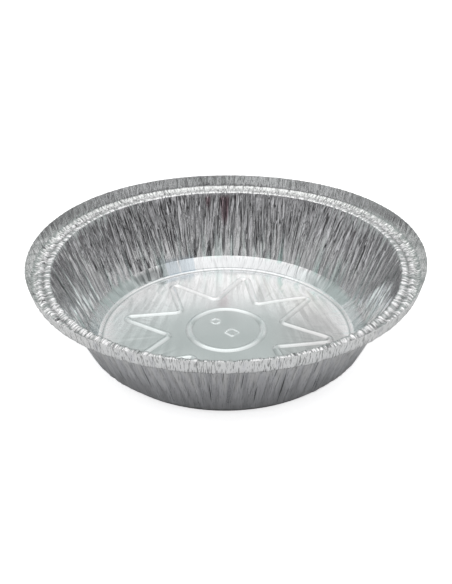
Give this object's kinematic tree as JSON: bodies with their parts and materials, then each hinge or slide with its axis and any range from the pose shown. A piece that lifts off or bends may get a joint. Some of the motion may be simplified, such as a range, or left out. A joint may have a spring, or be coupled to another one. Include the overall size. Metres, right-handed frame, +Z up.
{
  "type": "foil food container",
  "caption": "Round one-piece foil food container with an upright lip, a two-row ledge, a pleated flaring wall and an embossed star on its flat floor.",
  "frame": {"origin": "centre of the flat floor's underside, on the surface that the container stands on", "axes": "+Z up along the container's axis; +X to the right and +Y away as the picture shows it"},
  "size_m": [0.1852, 0.185, 0.0474],
  "materials": {
    "foil": "satin, crinkled rolled foil"
  },
  "bodies": {
    "root": {"foil_pan": "foil"}
  },
  "joints": []
}
